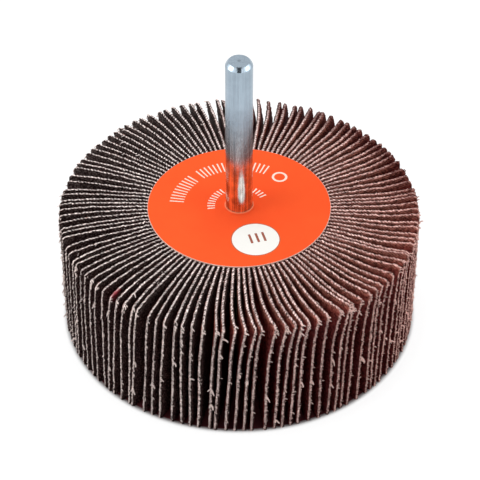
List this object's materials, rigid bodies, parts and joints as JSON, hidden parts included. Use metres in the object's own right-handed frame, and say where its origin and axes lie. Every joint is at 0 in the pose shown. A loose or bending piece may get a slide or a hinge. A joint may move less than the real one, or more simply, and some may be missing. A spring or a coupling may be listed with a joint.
{
  "type": "flap wheel",
  "caption": "Mounted flap wheel: radial flaps of brown abrasive cloth in a resin core, with an orange label disc and a straight steel shank.",
  "frame": {"origin": "centre of the wheel's flat underside, on the shank's axis", "axes": "+Z along the shank, out of the labelled face; X and Y lie in the underside, and flap 1 of group 1 stands along +X"},
  "size_m": [0.08, 0.0802, 0.07],
  "materials": {
    "shank_steel": "satin",
    "core_resin": "matte",
    "label_paper": "gloss",
    "flap_cloth": "matte"
  },
  "bodies": {
    "root": {"shank": "shank_steel", "resin_core": "core_resin", "label_disc": "label_paper", "flap_group_01": "flap_cloth", "flap_group_02": "flap_cloth", "flap_group_03": "flap_cloth", "flap_group_04": "flap_cloth", "flap_group_05": "flap_cloth", "flap_group_06": "flap_cloth", "flap_group_07": "flap_cloth", "flap_group_08": "flap_cloth", "flap_group_09": "flap_cloth", "flap_group_10": "flap_cloth", "flap_group_11": "flap_cloth", "flap_group_12": "flap_cloth", "flap_group_13": "flap_cloth", "flap_group_14": "flap_cloth", "flap_group_15": "flap_cloth", "flap_group_16": "flap_cloth", "flap_group_17": "flap_cloth", "flap_group_18": "flap_cloth", "flap_group_19": "flap_cloth", "flap_group_20": "flap_cloth", "flap_group_21": "flap_cloth", "flap_group_22": "flap_cloth", "flap_group_23": "flap_cloth", "flap_group_24": "flap_cloth"}
  },
  "joints": []
}
